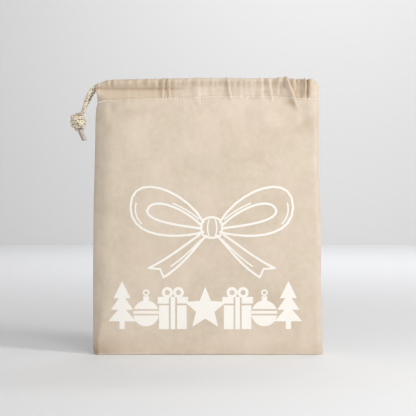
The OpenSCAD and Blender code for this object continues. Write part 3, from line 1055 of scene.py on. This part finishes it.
def makeStitching(name, face, source):
    bm = bmesh.new()
    bm.loops.layers.uv.verify()
    x = -sack["topHalf"] + sewing["start"]
    n = 0
    while x < sack["topHalf"] - 3:
        lift = sewing["slant"] * (1 + 0.5 * soft(n, 0, 1.3, 6.6))
        a = onFace(face, x, stitchZ(x) - lift, 0.1)
        b = onFace(face, x + sewing["stitch"], stitchZ(x + sewing["stitch"]) + lift, 0.1)
        if a is not None and b is not None:
            addStitch(bm, a, b, sewing["wide"], sewing["high"])
        x += sewing["pitch"]
        n += 1
    piece = linkMesh(bm, name, sewingThread)
    onSack(piece, "sewing_thread", source)


makeStitching("frontStitching", "front", "front_channel_stitching")
makeStitching("backStitching", "back", "back_channel_stitching")


def makeTack(name, face, source):
    # stitches sewn over each other from the side to the start of the row, ending in a lump
    bm = bmesh.new()
    for layer in range(3):
        points = []
        for n in range(9):
            x = -sack["topHalf"] + 1.4 + 9.0 * n / 8
            z = stitchZ(x) - 1.2 + 1.3 * smooth(n / 8) + 0.22 * (layer - 1)
            laid = onFace(face, x, z, 0.22 + 0.1 * (layer == 1))
            if laid is not None:
                points.append(laid)
        route = Route(points)

        def spot(n, route=route):
            point, tangent, side, up = route.at(route.length * n / 24)
            return point, side, up
        tubeAlong(bm, spot, 25, 6, sewing["tackWide"] * 0.62)
    closeEnds(bm)
    x = -sack["topHalf"] + 10.6
    laid = onFace(face, x, stitchZ(x) + 0.2, 0.3)
    addStitch(bm, laid - Vector((0.7, 0, 0)), laid + Vector((0.7, 0, 0)), 0.6, 0.45)
    piece = linkMesh(bm, name, sewingThread)
    onSack(piece, "sewing_thread", source)


makeTack("frontTack", "front", "front_back_tack")
makeTack("rearTack", "back", "rear_back_tack")
print("sewn")


# seam allowances inside, with their overlocking
allowance = {"wide": 8.0, "thick": 1.3, "loop": 3.2, "thread": 0.2}


def allowancePoint(side, t, across):
    # t runs along the seam, across runs from the seam to the cut edge
    if side == "bottom":
        x = -sack["bottomHalf"] + 14 + (2 * sack["bottomHalf"] - 28) * t
        lean = 1.1 * sin(x / 17) + 1.3 * soft(x, 0, 24, 8.1)
        return Vector((x, lean * across ** 2, 1.0 + allowance["wide"] * across))
    z = 6 + (sack["stitchZ"] - 14) * t
    inset, way = (leftInset, -1) if side == "left" else (rightInset, 1)
    x = sack["bottomHalf"] - eased(inset, z) - 1.2 - allowance["wide"] * across
    lean = (1.5 * sin(z / 31 + way) + 1.2 * soft(z, way * 9, 26, 4.4)) * across ** 2
    return Vector((way * x, lean, z))


def makeAllowance(side, source, overlockSource):
    bm = bmesh.new()
    count = 90

    def spot(i, j):
        point = allowancePoint(side, j / (count - 1), i / 6)
        return point, (point.x * mm + 0.5, point.z * mm)
    gridPatch(bm, 7, count, spot)
    strip = linkMesh(bm, side + "Allowance", calicoInsideShaded)
    thick = strip.modifiers.new("thickness", "SOLIDIFY")
    thick.thickness = allowance["thick"] * mm
    thick.offset = 0.0
    onSack(strip, "calico", source)
    # the overlocking wraps the cut edge in slanted loops
    bm = bmesh.new()
    length = (allowancePoint(side, 1, 1) - allowancePoint(side, 0, 1)).length
    loops = int(length / allowance["loop"])
    points = []
    for n in range(loops):
        for way, across in ((-1, 0.72), (-1, 1.0), (1, 1.0), (1, 0.72)):
            share = (n + (0.15 if way < 0 else 0.65) + (0.2 if across < 1 else 0)) / loops
            point = allowancePoint(side, min(1, share), across)
            point.y += way * (allowance["thick"] / 2 + 0.16)
            if across == 1.0:
                outer = allowancePoint(side, min(1, share), 1.04)
                point.x, point.z = outer.x, outer.z
            points.append(point)
    route = Route(points, step=1.6)

    def wrap(n):
        point, tangent, side_, up = route.at(route.length * n / (len(points) * 2))
        return point, side_, up
    tubeAlong(bm, wrap, len(points) * 2 + 1, 4, allowance["thread"])
    closeEnds(bm)
    thread = linkMesh(bm, side + "Overlock", sewingThread)
    onSack(thread, "sewing_thread", overlockSource)


for side in ("left", "right", "bottom"):
    makeAllowance(side, side + "_seam_allowance", side + "_seam_overlock")
print("seams finished")


# shrink-wrapped tips of the two strands
tips = {"inward": -1.2, "radius": cord["radius"] * 1.06, "length": 12.5, "lean": radians(24), "sides": 24}


def tipMaterial():
    material, tree, shader = newMaterial("tipWrap", (0.38, 0.32, 0.29), 0.34, Coat_Weight=0.35,
                                         Coat_Roughness=0.2, Specular_IOR_Level=0.45)
    place = node(tree, "ShaderNodeTexCoord").outputs["Object"]
    streaks = noiseOf(tree, mapped(tree, place, (900, 900, 140)), 1.0, 3.0, 0.6)
    tree.links.new(mixColour(tree, streaks, (0.33, 0.27, 0.245, 1), (0.50, 0.435, 0.40, 1)),
                   shader.inputs["Base Color"])
    wrinkle = noiseOf(tree, mapped(tree, place, (500, 500, 1100)), 1.0, 2.0, 0.5)
    bumped(tree, shader, wrinkle, 0.35, 0.0001)
    return material


tipWrap = tipMaterial()


def makeTip(name, source):
    low, high = boxMm(source)
    down = Vector((sin(tips["lean"]), 0, -cos(tips["lean"])))
    start = Vector((low.x + tips["inward"] + tips["radius"] * cos(tips["lean"]), (low.y + high.y) / 2,
                    high.z - tips["radius"] * sin(tips["lean"])))
    across = Vector((cos(tips["lean"]), 0, sin(tips["lean"])))
    bm = bmesh.new()
    # outside down to the cut end, over the rim and a little way back up inside
    profile = [(-1.2, 0.80), (0.0, 0.90), (0.5, 0.97), (1.4, 0.93), (4, 0.90), (8, 0.91), (11.4, 0.93),
               (12.2, 0.96), (tips["length"], 0.93), (12.3, 0.78), (10.8, 0.72), (10.6, 0.0)]

    def spot(i, j):
        distance, share = profile[j]
        angle = 2 * pi * i / tips["sides"]
        radius = tips["radius"] * share * (1 + 0.03 * sin(3 * angle + distance))
        cut = 0.9 * cos(angle) * smooth((distance - 9) / 3)
        point = start + down * (distance + cut)
        point += across * (radius * cos(angle)) + Vector((0, radius * sin(angle), 0))
        return point, (i / tips["sides"] * 0.015, distance * mm)
    verts = gridPatch(bm, tips["sides"] + 1, len(profile), spot)
    bmesh.ops.remove_doubles(bm, verts=verts, dist=0.0005)
    bmesh.ops.holes_fill(bm, edges=[e for e in bm.edges if len(e.link_faces) == 1], sides=30)
    bmesh.ops.recalc_face_normals(bm, faces=bm.faces)
    piece = linkMesh(bm, name, tipWrap)
    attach(piece, "cord_end")
    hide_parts(source)


makeTip("frontTip", "front_tip")
makeTip("rearTip", "rear_tip")
print("tips wrapped")


# floor, wall and lights
def stageMaterial(name, colour):
    material, tree, shader = newMaterial(name, colour, 0.9, Specular_IOR_Level=0.1)
    place = node(tree, "ShaderNodeTexCoord").outputs["Object"]
    tree.links.new(mixColour(tree, noiseOf(tree, place, 1.2, 2.0), (*[c * 0.985 for c in colour], 1),
                             (*colour, 1)), shader.inputs["Base Color"])
    return material


def addStage(name, points, colour):
    bm = bmesh.new()
    bmesh.ops.contextual_create(bm, geom=[bm.verts.new(p) for p in points])
    mesh = bpy.data.meshes.new(name)
    bm.to_mesh(mesh)
    bm.free()
    mesh.materials.append(stageMaterial(name, colour))
    surface = bpy.data.objects.new(name, mesh)
    bpy.context.scene.collection.objects.link(surface)


wallY = camera["wallBehind"] * mm
wide = 6
addStage("floor", [(-wide, -4, 0), (wide, -4, 0), (wide, wallY, 0), (-wide, wallY, 0)], (0.85, 0.857, 0.875))
addStage("wall", [(-wide, wallY, 0), (wide, wallY, 0), (wide, wallY, wide), (-wide, wallY, wide)],
         (0.80, 0.80, 0.80))


def addArea(name, place, target, size, power, colour=(1, 1, 1)):
    data = bpy.data.lights.new(name, "AREA")
    data.shape = "DISK"
    data.size = size
    data.energy = power
    data.color = colour
    lamp = bpy.data.objects.new(name, data)
    lamp.location = place
    lamp.rotation_euler = (Vector(target) - Vector(place)).to_track_quat("-Z", "Y").to_euler()
    bpy.context.scene.collection.objects.link(lamp)


addArea("windowRight", (1.3, -0.80, 0.85), (0.06, 0, 0.06), 0.45, 14.9, (1.0, 0.985, 0.96))
addArea("softFront", (0.35, -2.2, 0.8), (0.08, 0, 0.0), 1.6, 8.8, (1.0, 0.99, 0.975))
addArea("leftFill", (-1.3, -1.0, 0.12), (-0.08, 0, 0.0), 0.9, 5.2, (1.0, 0.985, 0.96))
addArea("topGlow", (0.20, -0.55, 0.62), (0.03, 0, 0.24), 0.25, 1.15, (1.0, 0.985, 0.96))
addArea("wallWash", (0.6, 1.6, 2.3), (0.3, wallY, 0.22), 2.0, 43.5)

world = bpy.data.worlds.new("room")
world.use_nodes = True
background = world.node_tree.nodes["Background"]
background.inputs["Color"].default_value = (0.97, 0.96, 0.95, 1)
background.inputs["Strength"].default_value = 0.325
bpy.context.scene.world = world
bpy.context.scene.view_settings.view_transform = "Standard"

print("stage lit")
